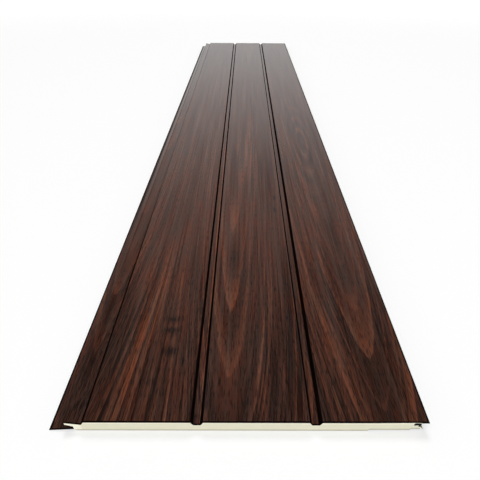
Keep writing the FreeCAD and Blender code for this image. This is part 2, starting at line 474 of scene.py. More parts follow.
def round_corners(corners, closed):
    """Outline with an arc at each corner that has a radius.

    An arc's point is its centre plus the turn from its start to its end at equal angles. Its centre
    lies on the corner's bisector at the radius divided by the sine of half the corner.
    """
    points = corners[:, :2]
    radius = corners[:, 2]
    before = np.roll(points, 1, axis=0)
    after = np.roll(points, -1, axis=0)
    if not closed:
        # The ends have no bend, so any neighbour that is out of line serves there
        before[0] = 2 * points[0] - points[1] + (0, 1)
        after[-1] = 2 * points[-1] - points[-2] + (0, 1)
    back = unit(before - points)
    ahead = unit(after - points)
    inward = unit(back + ahead)
    half_cosine = np.sum(back * inward, axis=1)
    half_sine = np.sqrt(1 - half_cosine ** 2)
    reach = (radius * half_cosine / half_sine)[:, None]
    centre = points + inward * (radius / half_sine)[:, None]
    start = points + back * reach - centre
    end = points + ahead * reach - centre
    turn = (math.pi - 2 * np.arccos(half_cosine))[:, None]
    share = np.linspace(0, 1, ARC_STEPS)
    from_start = (np.sin((1 - share) * turn) / np.sin(turn))[:, :, None]
    from_end = (np.sin(share * turn) / np.sin(turn))[:, :, None]
    arcs = centre[:, None] + from_start * start[:, None] + from_end * end[:, None]
    kept = (radius > 0)[:, None] | (np.arange(ARC_STEPS) == 0)
    return arcs[kept]


def new_piece(name, vertices, faces, node):
    """A mesh object in the row frame that rides on the plank and stands for its CAD node."""
    mesh = bpy.data.meshes.new(name)
    mesh.from_pydata(vertices.reshape(-1, 3).tolist(), [], faces)
    mesh.polygons.foreach_set("use_smooth", np.ones(len(mesh.polygons), bool))
    mesh.set_sharp_from_angle(angle=SMOOTH_ANGLE)
    mesh.update()
    piece = bpy.data.objects.new(name, mesh)
    bpy.context.scene.collection.objects.link(piece)
    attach(piece, BODY)
    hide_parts(node)
    return piece


def carried(outline, stations, centre):
    """Points of a section at every station: the outline's x and z beside the station's y."""
    shape = (len(stations), len(outline))
    x = np.broadcast_to(outline[None, :, 0] - centre, shape)
    y = np.broadcast_to(stations[:, None], shape)
    z = np.broadcast_to(outline[None, :, 1], shape)
    return np.stack([x, y, z], axis=-1)


def quads(index):
    """Quads between neighbours of a grid of vertex numbers."""
    corners = (index[:-1, :-1], index[:-1, 1:], index[1:, 1:], index[1:, :-1])
    return np.stack(corners, axis=-1).reshape(-1, 4)


def strip_mesh(sides, stations, centre):
    """Vertices and faces of a bent strip that is carried along the plank, closed all round.

    The grid's first axis is the side, its second the station and its third the place across.
    """
    vertices = np.stack([carried(side, stations, centre) for side in sides])
    number = np.arange(vertices[..., 0].size).reshape(vertices.shape[:3])
    parts = {
        "printed": quads(number[0]),
        "back": quads(number[1])[:, ::-1],
        "edge": np.concatenate([quads(number[:, :, 0]), quads(number[:, :, -1])[:, ::-1]]),
        "end": np.concatenate([quads(number[:, 0, :])[:, ::-1], quads(number[:, -1, :])]),
    }
    return vertices, parts


def solid_mesh(outline, stations, centre):
    """Vertices and faces of a closed outline that is carried along the plank and capped."""
    vertices = carried(outline, stations, centre)
    number = np.arange(vertices[..., 0].size).reshape(vertices.shape[:2])
    ring = np.concatenate([number, number[:, :1]], axis=1)
    walls = quads(ring).tolist()
    caps = [number[0][::-1].tolist(), number[-1].tolist()]
    return vertices, walls, caps


def length_stations(s, count):
    """Stations along the plank, from the near cut end to the far one."""
    return np.linspace(-s.length / 2, s.length / 2, count)


def new_node(tree, kind, **settings):
    """A shader node with its settings."""
    made = tree.nodes.new("ShaderNode" + kind)
    for name, value in settings.items():
        setattr(made, name, value)
    return made


def set_inputs(node, values):
    """Writes plain values into a node's input sockets by name."""
    for name, value in values.items():
        node.inputs[name].default_value = value


def join(tree, value, socket):
    """Links an output socket to an input socket, or writes a plain value there."""
    if isinstance(value, bpy.types.NodeSocket):
        tree.links.new(value, socket)
    else:
        socket.default_value = value


def maths(tree, operation, *values, clamp=False):
    """Result of a Math node on sockets or numbers."""
    made = new_node(tree, "Math", operation=operation, use_clamp=clamp)
    for value, socket in zip(values, made.inputs):
        join(tree, value, socket)
    return made.outputs[0]


def point(tree, x, y, z):
    """A vector of three sockets or numbers."""
    made = new_node(tree, "CombineXYZ")
    for value, socket in zip((x, y, z), made.inputs):
        join(tree, value, socket)
    return made.outputs[0]


def split(tree, vector):
    """X, Y and Z of a vector."""
    made = new_node(tree, "SeparateXYZ")
    join(tree, vector, made.inputs[0])
    return made.outputs


def stretched(tree, across, along, across_scale, along_scale, seed):
    """Place on the face with its own scale across and along, on the layer that the seed names."""
    return point(tree, maths(tree, "MULTIPLY", across, across_scale),
                 maths(tree, "MULTIPLY", along, along_scale), seed)


def noise(tree, vector, detail=2.0, roughness=0.5, scale=1.0):
    """Height of a noise texture at a point, from 0 to 1 about a half."""
    made = new_node(tree, "TexNoise", noise_dimensions="3D")
    join(tree, vector, made.inputs["Vector"])
    set_inputs(made, {"Scale": scale, "Detail": detail, "Roughness": roughness})
    return made.outputs["Fac"]


def swing(tree, vector, detail, roughness=0.5):
    """Height of a noise texture at a point, to both sides of nothing."""
    return maths(tree, "SUBTRACT", noise(tree, vector, detail, roughness), NOISE_MIDDLE)


def between(tree, value, low, high, start=0.0, end=1.0):
    """Smooth step of a value from low to high, between start and end."""
    made = new_node(tree, "MapRange", interpolation_type="SMOOTHSTEP")
    for item, name in ((value, "Value"), (low, "From Min"), (high, "From Max"),
                       (start, "To Min"), (end, "To Max")):
        join(tree, item, made.inputs[name])
    return made.outputs["Result"]


def blend_colours(tree, share, first, second, mode="MIX"):
    """Colour between two colours or sockets."""
    made = new_node(tree, "Mix", data_type="RGBA", blend_type=mode, clamp_result=True)
    join(tree, share, made.inputs["Factor"])
    for value, name in ((first, "A"), (second, "B")):
        socket = [item for item in made.inputs if item.name == name and item.type == "RGBA"][0]
        join(tree, value if isinstance(value, bpy.types.NodeSocket) else (*value, 1.0), socket)
    return [item for item in made.outputs if item.type == "RGBA"][0]


def new_group(name, inputs, outputs):
    """An empty shader node group with named float inputs and outputs."""
    tree = bpy.data.node_groups.new(name, "ShaderNodeTree")
    for title, value in inputs.items():
        socket = tree.interface.new_socket(title, in_out="INPUT", socket_type="NodeSocketFloat")
        socket.default_value = value
    for title in outputs:
        tree.interface.new_socket(title, in_out="OUTPUT", socket_type="NodeSocketFloat")
    start = tree.nodes.new("NodeGroupInput")
    end = tree.nodes.new("NodeGroupOutput")
    return tree, start.outputs, end.inputs


def place_group(tree, group, **values):
    """A group's node with values or links for its inputs, whose names have underscores here."""
    made = tree.nodes.new("ShaderNodeGroup")
    made.node_tree = group
    for name, value in values.items():
        join(tree, value, made.inputs[name.replace("_", " ").capitalize()])
    return made.outputs


def grain_lines_group():
    """Number of the growth ring at a place, counted as a fraction. The wood's lines are its contours.

    In arches, the number grows with the distance from the axis, divided by the half width, to the power
    of one and a half, and falls along the board with the logarithm of the place. In a fan, the lines
    spread from the axis towards the near end. The side is low on an arch's axis and 1 away from it.
    """
    inputs = {"Across": 0.0, "Along": 0.0, "Axis": 0.0, "Half width": 0.02, "Start": 0.0, "Pace": 8.0,
              "Stretch": 0.6, "Fan": 0.0}
    tree, given, result = new_group("Grain lines", inputs, ("Rings", "Side"))
    across = maths(tree, "SUBTRACT", given["Across"], given["Axis"])
    slow = swing(tree, stretched(tree, across, given["Along"], *WANDER_SCALES, given["Axis"]), detail=1.0)
    moved = maths(tree, "MULTIPLY_ADD", slow, WANDER, across)
    from_axis = maths(tree, "DIVIDE", moved, given["Half width"])
    rounded = maths(tree, "MULTIPLY_ADD", from_axis, from_axis, ARCH_ROUNDING)
    opened = maths(tree, "POWER", rounded, ARCH_POWER)
    stretch = maths(tree, "ADD", maths(tree, "DIVIDE", given["Along"], given["Stretch"]), 1.0)
    passed = maths(tree, "MULTIPLY", maths(tree, "LOGARITHM", stretch, math.e), given["Pace"])
    arches = maths(tree, "SUBTRACT", opened, passed)
    narrowed = maths(tree, "MULTIPLY_ADD", given["Along"], FAN_PACE, 1.0)
    fan = maths(tree, "MULTIPLY", from_axis, maths(tree, "MINIMUM", narrowed, FAN_LIMIT))
    change = maths(tree, "SUBTRACT", fan, arches)
    counted = maths(tree, "MULTIPLY_ADD", change, given["Fan"], arches)
    join(tree, maths(tree, "ADD", counted, given["Start"]), result["Rings"])
    aside = between(tree, maths(tree, "ABSOLUTE", from_axis), *ARCH_SIDE)
    join(tree, maths(tree, "MAXIMUM", aside, given["Fan"]), result["Side"])
    return tree


def growth_rings_group():
    """Tone of the rings: 0 on dark late wood and 1 on light early wood.

    Within a ring the tone rises slowly outwards and falls at once at the next ring. Each ring has its
    own strength, from the fraction of its number times the golden share.
    """
    inputs = {"Rings": 0.0, "Across": 0.0, "Along": 0.0}
    tree, given, result = new_group("Growth rings", inputs, ("Tone",))
    place = stretched(tree, given["Across"], given["Along"], *RIPPLE_SCALES, RIPPLE_LAYER)
    ripple = maths(tree, "MULTIPLY", swing(tree, place, detail=2.0), RIPPLE)
    count = maths(tree, "ADD", given["Rings"], ripple)
    phase = maths(tree, "FRACT", count)
    spread = maths(tree, "MULTIPLY_ADD", maths(tree, "FLOOR", count), GOLDEN_SHARE, FIRST_STRENGTH)
    rise = maths(tree, "POWER", phase, RING_RISE)
    fall = between(tree, phase, *RING_FALL)
    strength = maths(tree, "MULTIPLY_ADD", maths(tree, "FRACT", spread), 1 - LEAST_STRENGTH, LEAST_STRENGTH)
    join(tree, maths(tree, "MULTIPLY", maths(tree, "MULTIPLY", rise, fall), strength), result["Tone"])
    return tree


def fibres_group():
    """Streaks that follow the rings, thin dark lines, fine fibres, pores, a hue, faint streaks and painted
    sheen.

    The streaks are a broad noise that is drawn out along the rings, and finer ones that fade towards the
    axis of an arch. The lines are where a drawn-out noise crosses its middle. The fibres follow the
    rings. The pores, the hue, the faint streaks and the painted sheen are noises drawn out along the
    board. The painted sheen is broad pale streaks that stand in for streaks in the gloss, and it grows
    further along.
    """
    inputs = {"Rings": 0.0, "Side": 1.0, "Across": 0.0, "Along": 0.0}
    outputs = ("Streak", "Line", "Fibre", "Pore", "Hue", "Faint")
    tree, given, result = new_group("Wood fibres", inputs, outputs)

    def drawn(name):
        guide, guide_scale, along_scale, detail, roughness = FIBRE_NOISES[name]
        place = stretched(tree, given[guide], given["Along"], guide_scale, along_scale, guide_scale)
        return swing(tree, place, detail, roughness)

    fine = maths(tree, "MULTIPLY", drawn("ring streak"), RING_STREAK)
    fine = maths(tree, "MULTIPLY_ADD", drawn("board streak"), BOARD_STREAK, fine)
    broad = maths(tree, "MULTIPLY_ADD", drawn("broad streak"), BROAD_STREAK, NOISE_MIDDLE)
    join(tree, maths(tree, "MULTIPLY_ADD", fine, given["Side"], broad), result["Streak"])
    line = between(tree, maths(tree, "ABSOLUTE", drawn("line")), *LINE_EDGE)
    join(tree, maths(tree, "MULTIPLY", line, given["Side"]), result["Line"])
    join(tree, maths(tree, "MULTIPLY", drawn("fibre"), given["Side"]), result["Fibre"])
    join(tree, between(tree, drawn("pore"), *PORE_EDGE), result["Pore"])
    join(tree, maths(tree, "ADD", drawn("hue"), NOISE_MIDDLE), result["Hue"])
    fine_faint = maths(tree, "MULTIPLY", drawn("fine faint"), FINE_FAINT)
    # Painted sheen: broad pale streaks, stronger further along, added to the fine faint streaks
    sheen_share = between(tree, given["Along"], *PAINTED_SHEEN)
    join(tree, maths(tree, "MULTIPLY_ADD", drawn("broad sheen"), sheen_share, fine_faint), result["Faint"])
    return tree


def spot_group():
    """Bell of the distance from a spot's middle, with its own half width across and half length along.

    The bell is multiplied by the cosine of the distance, which makes rings, or by one where there are none.
    """
    inputs = {"Across": 0.0, "Along": 0.0, "Middle across": 0.0, "Middle along": 0.0,
              "Half width": 0.004, "Half length": 0.003, "Rings": 0.0}
    tree, given, result = new_group("Spot", inputs, ("Share",))
    squares = 0.0
    for place, middle, half in (("Across", "Middle across", "Half width"),
                                ("Along", "Middle along", "Half length")):
        away = maths(tree, "DIVIDE", maths(tree, "SUBTRACT", given[place], given[middle]), given[half])
        squares = maths(tree, "MULTIPLY_ADD", away, away, squares)
    bell = maths(tree, "EXPONENT", maths(tree, "MULTIPLY", squares, -1.0))
    turns = maths(tree, "MULTIPLY", maths(tree, "SQRT", squares), given["Rings"])
    wave = maths(tree, "COSINE", maths(tree, "MULTIPLY", turns, math.tau))
    join(tree, maths(tree, "MULTIPLY", bell, wave), result["Share"])
    return tree


def new_material(name):
    """A material with an empty node tree but for its shader, and that shader."""
    material = bpy.data.materials.new(name)
    material.use_nodes = True
    return material, material.node_tree, material.node_tree.nodes["Principled BSDF"]


def add_bump(tree, shader, height, strength, distance):
    """Bump from a height on the shader's normal."""
    bump = new_node(tree, "Bump")
    set_inputs(bump, {"Strength": strength, "Distance": distance})
    join(tree, height, bump.inputs["Height"])
    join(tree, bump.outputs["Normal"], shader.inputs["Normal"])


def attribute(tree, name):
    """Value of a mesh attribute."""
    return new_node(tree, "Attribute", attribute_name=name).outputs["Fac"]


def colour_ramp(tree, value, stops):
    """Colour for a value, from stops of a position and a colour."""
    ramp = new_node(tree, "ValToRGB")
    elements = ramp.color_ramp.elements
    positions, colours = zip(*stops)
    elements[0].position = positions[0]
    elements[1].position = positions[-1]
    for position in positions[1:-1]:
        elements.new(position)
    for element, colour in zip(elements, colours):
        element.color = (*colour, 1.0)
    join(tree, value, ramp.inputs["Fac"])
    return ramp.outputs["Color"]


def ring_number(tree, across, along):
    """Ring number and side over the whole sheet, where each figure holds as far as its end."""
    lines = grain_lines_group()
    rings = 0.0
    side = 0.0
    start = PRINT_LEFT
    for end, *values in GRAIN_FIGURES:
        figure = place_group(tree, lines, across=across, along=along, **dict(zip(LINE_VALUES, values)))
        after = maths(tree, "GREATER_THAN", across, start)
        inside = maths(tree, "MULTIPLY", after, maths(tree, "LESS_THAN", across, end))
        rings = maths(tree, "MULTIPLY_ADD", figure["Rings"], inside, rings)
        side = maths(tree, "MULTIPLY_ADD", figure["Side"], inside, side)
        start = end
    return rings, side


def grain_tone(tree, across, along):
    """Tone of the wood print from dark to light, its hue from grey to warm, and its faint streaks with
    painted sheen.
    """
    rings, side = ring_number(tree, across, along)
    ring_tone = place_group(tree, growth_rings_group(), rings=rings, across=across, along=along)["Tone"]
    fibres = place_group(tree, fibres_group(), rings=rings, side=side, across=across, along=along)
    tone = maths(tree, "MULTIPLY_ADD", ring_tone, RING_SHARE, TONE_OFFSET)
    tone = maths(tree, "MULTIPLY_ADD", between(tree, fibres["Streak"], *STREAK_EDGE), STREAK_SHARE, tone)
    for name, share in FIBRE_SHARES.items():
        tone = maths(tree, "MULTIPLY_ADD", fibres[name], share, tone)
    contrast = between(tree, along, *PRINT_CONTRAST)
    tone = maths(tree, "MULTIPLY_ADD", tone, contrast, between(tree, along, *PRINT_GROUND))
    spots = spot_group()
    for middle_across, middle_along, half_width, half_length, change, spot_rings in SPOTS:
        spot = place_group(tree, spots, across=across, along=along, middle_across=middle_across,
                           middle_along=middle_along, half_width=half_width, half_length=half_length,
                           rings=spot_rings)
        tone = maths(tree, "MULTIPLY_ADD", spot["Share"], change, tone)
    return tone, fibres["Hue"], fibres["Faint"]


def print_colour(tree, colours, across, along):
    """Colour of the wood print: a colour for its tone, tinted by its hue, with the faint streaks and painted
    sheen added.

    The joint edge on the left gets dusty further along, and painted shade makes the print darker close to the
    near end.
    """
    tone, hue, faint = grain_tone(tree, across, along)
    plain = colour_ramp(tree, tone, ((0.0, colours.grain_dark), (MIDDLE_TONE, colours.grain_mid),
                                     (1.0, colours.grain_light)))
    tinted = blend_colours(tree, 1.0, plain, colour_ramp(tree, hue, HUE_TINTS), "MULTIPLY")
    streaks = new_node(tree, "VectorMath", operation="SCALE")
    streaks.inputs[0].default_value = STREAK_COLOUR
    join(tree, faint, streaks.inputs["Scale"])
    streaked = blend_colours(tree, 1.0, tinted, streaks.outputs["Vector"], "ADD")
    dust = maths(tree, "MULTIPLY", between(tree, across, *JOINT_EDGE), between(tree, along, *JOINT_DUST))
    dusty = blend_colours(tree, dust, streaked, colours.back_coat)
    # Painted shade towards the near end
    return blend_colours(tree, between(tree, along, *NEAR_SHADE), BLACK, dusty)


def end_rim_shade(tree, s, along):
    """Share of the painted shade in a dark rim beside both cut ends."""
    near = between(tree, along, RIM_WIDTH * RIM_CORE, RIM_WIDTH, 1.0, 0.0)
    far = between(tree, along, s.length - RIM_WIDTH, s.length - RIM_WIDTH * RIM_CORE)
    return maths(tree, "MAXIMUM", near, far)


def printed_sheet_material(s, colours):
    """Wood print under a semi-gloss clear coat, with painted shade on folds and beside the cut ends, dark cut
    edges, and primer on the back.
    """
    material, tree, shader = new_material("Printed sheet")
    place = split(tree, new_node(tree, "UVMap", uv_map="Print").outputs["UV"])
    wood = print_colour(tree, colours, place["X"], place["Y"])
    # Painted shade: the dark folds and a dark rim beside the cut ends
    dark = maths(tree, "MAXIMUM", attribute(tree, "fold"), end_rim_shade(tree, s, place["Y"]))
    folded = blend_colours(tree, maths(tree, "MULTIPLY", dark, FOLD_SHADE_SHARE), wood, colours.cut_edge_and_shade)
    printed = attribute(tree, "printed")
    faced = blend_colours(tree, printed, colours.back_coat, folded)
    cut = attribute(tree, "cut")
    join(tree, blend_colours(tree, cut, faced, colours.cut_edge_and_shade), shader.inputs["Base Color"])
    bare = maths(tree, "MAXIMUM", dark, cut)
    dull = maths(tree, "MAXIMUM", bare, attribute(tree, "dull"))
    coat = maths(tree, "MULTIPLY", printed, maths(tree, "SUBTRACT", 1.0, dull, clamp=True))
    join(tree, coat, shader.inputs["Coat Weight"])
    set_inputs(shader, {"Coat Roughness": 0.22, "Coat IOR": 1.5, "Roughness": 0.7, "Specular IOR Level": 0.0})
    return material


def seal_dark_band(tree, s, at, across, up):
    """Share of a dark band in the seal's colour on the foam, along the seal's root and heel."""
    seal = seal_places(s, at)
    middle = seal.top - s.seal_thickness * SEAL_BAND_MIDDLE
    away = maths(tree, "ABSOLUTE", maths(tree, "SUBTRACT", up, middle))
    inner, outer = (s.seal_thickness * share for share in SEAL_BAND_REACH)
    along_root = maths(tree, "MULTIPLY", between(tree, away, inner, outer, 1.0, 0.0),
                       between(tree, across, seal.root, seal.root + SEAL_BAND))
    below_top = maths(tree, "MULTIPLY", between(tree, up, seal.heel_z - SEAL_BAND, seal.heel_z),
                      between(tree, up, seal.top, seal.top + SEAL_BAND, 1.0, 0.0))
    beside_heel = between(tree, across, seal.heel_inside - SEAL_BAND, seal.heel_inside)
    along_heel = maths(tree, "MULTIPLY", below_top, beside_heel)
    inside = between(tree, across, seal.bend + SEAL_BAND, seal.bend + 2 * SEAL_BAND, 1.0, 0.0)
    return maths(tree, "MULTIPLY", maths(tree, "MAXIMUM", along_root, along_heel), inside)


def sheet_shadow(tree, s, at, across, up):
    """Share of the dark line on the foam just below the sheet, which fades out towards the seal."""
    sheet_back = s.thickness - s.sheet
    below = between(tree, up, sheet_back - SHEET_SHADOW, sheet_back - SHEET_SHADOW * SHADOW_CORE)
    fade_start, fade_end = (at.core_side - distance for distance in SHADOW_FROM_SIDE)
    return maths(tree, "MULTIPLY", below, between(tree, across, fade_start, fade_end, 1.0, 0.0))


def foam_material(s, colours):
    """Rigid foam: cells, a back band of foil edge and painted shade, paler foam by the sheet, a dark band by
    the seal.
    """
    material, tree, shader = new_material("Rigid foam")
    place = new_node(tree, "TexCoord").outputs["Object"]
    parts = split(tree, place)
    up = parts["Z"]
    at = section_places(s)
    across = maths(tree, "ADD", parts["X"], at.centre)
    cells = noise(tree, place, detail=3.0, roughness=0.6, scale=CELL_SCALE)
    blotch = noise(tree, place, scale=BLOTCH_SCALE)
    back = back_path(s, at)
    over_back = up
    for riser in BACK_RISERS:
        foot, head = back[riser]
        rise = between(tree, across, foot[0], head[0], 0.0, head[1] - foot[1])
        over_back = maths(tree, "SUBTRACT", over_back, rise)
    under_face = between(tree, up, *(s.thickness - depth for depth in FRESH_DEPTHS))
    pale = maths(tree, "MAXIMUM", under_face, between(tree, across, *FRESH_TONGUE))
    shade = maths(tree, "MULTIPLY_ADD", blotch, FOAM_SHADE, maths(tree, "MULTIPLY", cells, FOAM_SHADE))
    base = blend_colours(tree, shade, colours.foam, colours.foam_skin_and_shade)
    fresh = blend_colours(tree, pale, base, colours.foam_fresh)
    # Darker band over the back: the foil's cut edge and painted shade where the plank meets the floor
    back_edge_shaded = blend_colours(tree, between(tree, over_back, *BACK_EDGE_AND_SHADE), fresh, colours.foam_skin_and_shade)
    shaded = blend_colours(tree, sheet_shadow(tree, s, at, across, up), back_edge_shaded, colours.cut_edge_and_shade)
    seal_banded = blend_colours(tree, seal_dark_band(tree, s, at, across, up), shaded, colours.seal)
    join(tree, seal_banded, shader.inputs["Base Color"])
    set_inputs(shader, {"Roughness": 0.95, "Specular IOR Level": 0.0})
    add_bump(tree, shader, cells, *CELL_BUMP)
    return material


def foil_material(colours):
    """Dull aluminium foil with a fine embossing and soft creases."""
    material, tree, shader = new_material("Backing foil")
    place = new_node(tree, "TexCoord").outputs["Object"]
    creases = noise(tree, place, detail=3.0, roughness=0.55, scale=CREASE_SCALE)
    emboss = new_node(tree, "TexVoronoi", feature="F1")
    join(tree, place, emboss.inputs["Vector"])
    set_inputs(emboss, {"Scale": EMBOSS_SCALE})
    height = maths(tree, "MULTIPLY_ADD", emboss.outputs["Distance"], EMBOSS_SHARE, creases)
    dulled = tuple(FOIL_DULLING * part for part in colours.foil)
    join(tree, blend_colours(tree, creases, colours.foil, dulled), shader.inputs["Base Color"])
    least, added = FOIL_ROUGHNESS
    join(tree, maths(tree, "MULTIPLY_ADD", creases, added, least), shader.inputs["Roughness"])
    set_inputs(shader, {"Metallic": 1.0})
    add_bump(tree, shader, height, *FOIL_BUMP)
    return material


def seal_material(s, colours):
    """Black rubber with a faint bloom, and foam dust on the lip."""
    material, tree, shader = new_material("Rubber seal")
    place = new_node(tree, "TexCoord").outputs["Object"]
    at = section_places(s)
    side = at.core_side - at.centre
    dust = between(tree, split(tree, place)["X"], side - s.seal_heel_depth, side + s.seal_reach / 2,
                   0.0, LIP_DUST)
    bloom = noise(tree, place, detail=3.0, roughness=0.6, scale=BLOOM_SCALE)
    pale = tuple(BLOOM_GAIN * part for part in colours.seal)
    rubber = blend_colours(tree, bloom, colours.seal, pale)
    join(tree, blend_colours(tree, dust, rubber, colours.foam_skin_and_shade), shader.inputs["Base Color"])
    least, added = SEAL_ROUGHNESS
    join(tree, maths(tree, "MULTIPLY_ADD", bloom, added, least), shader.inputs["Roughness"])
    set_inputs(shader, {"Specular IOR Level": 0.05})
    add_bump(tree, shader, bloom, *SEAL_BUMP)
    return material


def fold_shade_bands(s):
    """Painted shade in bands across the sheet, from one corner and offset to another, with a share near and
    far.

    The offsets are in millimetres along the unrolled sheet.
    """
    # Painted shade where shade falls: the flange's edge, the gap under the tongue, the step, the hem and the
    # grooves' walls
    hem = FIRST_GROOVE + GROOVE_CORNERS * (s.board_count - 1)
    bands = [(FLANGE_EDGE, 0.0, FLANGE_EDGE, 1.9, 1.0, 1.0),
             (FLANGE_EDGE, 0.0, FLANGE_EDGE, 6.0, 0.0, 0.68),
             (WEB_FOOT, -0.5, NOSE_TOP, -0.8, 1.0, 1.0),
             (STEP_FOOT, -0.3, STEP_TOP, 0.05, 1.0, 0.4),
             (hem, -1.6, hem + 1, 0.5, 1.0, 1.0),
             (hem, -3.0, hem, 0.0, 0.0, 0.5)]
    for left in range(FIRST_GROOVE, hem, GROOVE_CORNERS):
        bands += [(left, 0.0, left + 1, -1.2, 1.0, 1.0),
                  (left + 2, -0.5, left + 3, -0.3, 1.0, 1.0)]
    return np.array(bands)


def band_places(bands, corners):
    """Start and end of each band along the unrolled sheet, from the corners' places."""
    starts = corners[bands[:, 0].astype(int)] + bands[:, 1] * MM
    ends = corners[bands[:, 2].astype(int)] + bands[:, 3] * MM
    return starts, ends


def band_shares(places, starts, ends):
    """Share of each band at each place: one inside, and falling to nothing over the band's soft edge."""
    inside = np.minimum(places[:, None] - starts, ends - places[:, None]) / CREASE_EDGE
    return np.clip(inside + 1, 0, 1)


def sheet_section(s, at):
    """Both sides of the sheet's section, with a point at every bend and at every edge of a band of painted
    shade.

    A place is the distance along the unrolled printed side. The two sides have points at the same places.
    Points just beside each bend keep the shading of the flats even.
    """
    path = sheet_path(s, at)
    rounded = [round_corners(side, closed=False) for side in strip_sides(path, s.sheet)]
    steps = np.linalg.norm(np.diff(rounded[0], axis=0), axis=1)
    unrolled = np.concatenate([[0], np.cumsum(steps)])
    bend_sizes = np.where(path[:, 2] > 0, ARC_STEPS, 1)
    bend_ends = np.cumsum(bend_sizes) - 1
    corners = unrolled[bend_ends - bend_sizes // 2]
    section = SimpleNamespace()
    section.bands = fold_shade_bands(s)
    section.folds = band_places(section.bands, corners)
    section.nose = corners[NOSE_TOP]
    section.nose_bend = (np.array([section.nose - NOSE_BEND]), np.array([section.nose + NOSE_BEND]))
    edges = [unrolled[bend_ends - bend_sizes + 1] - FLAT_EDGE, unrolled[bend_ends] + FLAT_EDGE]
    for starts, ends in (section.folds, section.nose_bend):
        edges += [starts - CREASE_EDGE, starts, ends, ends + CREASE_EDGE]
    section.places = np.union1d(unrolled, np.clip(np.concatenate(edges), 0, unrolled[-1]))
    section.sides = [np.column_stack([np.interp(section.places, unrolled, values) for values in side.T])
                     for side in rounded]
    return section


def print_places(section, from_near):
    """Place on the wood print, across and along, of each point of the section at each station.

    Across, it is the distance along the unrolled sheet from the first board's left edge. From the flange
    to the tongue's nose it is the straight distance across instead, moved by the print's shift there.
    """
    x = section.sides[0][:, 0]
    first_board = section.places[np.argmax(x >= 0)]
    across = np.where(section.places < section.nose, x + FLANGE_PRINT_SHIFT, section.places - first_board)
    return np.stack(np.meshgrid(across, from_near), axis=-1)


def fold_shade_marks(section, from_near):
    """How dark the painted shade makes each point of the section at each station: the largest share among its
    bands.

    Each band's share changes from its near value to its far one between two places along the plank.
    """
    far = np.interp(from_near, FOLD_SHADE_FADE, (0.0, 1.0))[:, None]
    near_share, far_share = section.bands[:, 4:].T
    strength = near_share + far * (far_share - near_share)
    return np.max(band_shares(section.places, *section.folds) * strength[:, None, :], axis=-1)


def write_print(mesh, places):
    """UV map of the wood print, from the place of each vertex on it."""
    layer = mesh.uv_layers.new(name="Print")
    corner_vertex = np.zeros(len(mesh.loops), np.int32)
    mesh.loops.foreach_get("vertex_index", corner_vertex)
    layer.data.foreach_set("uv", places[corner_vertex].ravel().astype(np.float32))


def write_marks(mesh, name, domain, marks):
    """Attribute of the mesh with one number for each point or face."""
    layer = mesh.attributes.new(name, "FLOAT", domain)
    layer.data.foreach_set("value", marks.ravel().astype(np.float32))


class PLANK_OT_face_sheet(bpy.types.Operator):
    """Makes the roll-formed sheet with its wood print"""

    bl_idname = "plank.face_sheet"
    bl_label = "Face sheet"

    def execute(self, context):
        s = context.scene.plank_sizes
        at = section_places(s)
        section = sheet_section(s, at)
        stations = length_stations(s, SHEET_STATIONS)
        vertices, parts = strip_mesh(section.sides, stations, at.centre)
        faces = np.concatenate(list(parts.values()))
        piece = new_piece("printed_face", vertices, faces.tolist(), "face_sheet")
        mesh = piece.data
        grid = vertices.shape[:3]
        from_near = stations + s.length / 2
        places = np.broadcast_to(print_places(section, from_near), (*grid, 2))
        write_print(mesh, places.reshape(-1, 2))
        for name, kinds in (("printed", ("printed",)), ("cut", ("edge", "end"))):
            marks = [np.full(len(part), kind in kinds) for kind, part in parts.items()]
            write_marks(mesh, name, "FACE", np.concatenate(marks))
        nose_marks = band_shares(section.places, *section.nose_bend)[:, 0]
        # Marks of the painted shade on the folds, and of the dull nose bend
        for name, marks in (("fold", fold_shade_marks(section, from_near)), ("dull", nose_marks)):
            write_marks(mesh, name, "POINT", np.broadcast_to(marks, grid))
        mesh.materials.append(printed_sheet_material(s, context.scene.plank_colours))
        return {"FINISHED"}


class PLANK_OT_foam_core(bpy.types.Operator):
    """Makes the foam between the sheet and the foil, with the seal's slot in its right edge"""

    bl_idname = "plank.foam_core"
    bl_label = "Foam core"

    def execute(self, context):
        s = context.scene.plank_sizes
        at = section_places(s)
        sheet_back = strip_sides(sheet_path(s, at), s.sheet)[1]
        top_right = [(at.core_side, s.thickness - s.sheet, 0)]
        back = back_path(s, at)[::-1]
        corners = np.vstack([sheet_back[OVER_FOAM], top_right, seal_slot(s, at), back])
        outline = round_corners(corners, closed=True)
        vertices, walls, caps = solid_mesh(outline, length_stations(s, END_STATIONS), at.centre)
        piece = new_piece("foam_filling", vertices, walls + caps, "foam_core")
        piece.data.materials.append(foam_material(s, context.scene.plank_colours))
        return {"FINISHED"}


class PLANK_OT_backing_foil(bpy.types.Operator):
    """Makes the foil on the foam's back"""

    bl_idname = "plank.backing_foil"
    bl_label = "Backing foil"

    def execute(self, context):
        s = context.scene.plank_sizes
        at = section_places(s)
        sides = [round_corners(side, closed=False) for side in strip_sides(back_path(s, at), s.foil)]
        vertices, parts = strip_mesh(sides, length_stations(s, END_STATIONS), at.centre)
        faces = np.concatenate(list(parts.values()))
        piece = new_piece("foil_back", vertices, faces.tolist(), "backing_foil")
        piece.data.materials.append(foil_material(context.scene.plank_colours))
        return {"FINISHED"}


class PLANK_OT_seal_strip(bpy.types.Operator):
    """Makes the rubber seal in the foam's right edge"""

    bl_idname = "plank.seal_strip"
    bl_label = "Seal strip"

    def execute(self, context):
        s = context.scene.plank_sizes
        at = section_places(s)
        outline = round_corners(seal_outline(s, at), closed=True)
        vertices, walls, caps = solid_mesh(outline, length_stations(s, END_STATIONS), at.centre)
        piece = new_piece("joint_seal", vertices, walls + caps, "seal_strip")
        piece.data.materials.append(seal_material(s, context.scene.plank_colours))
        return {"FINISHED"}


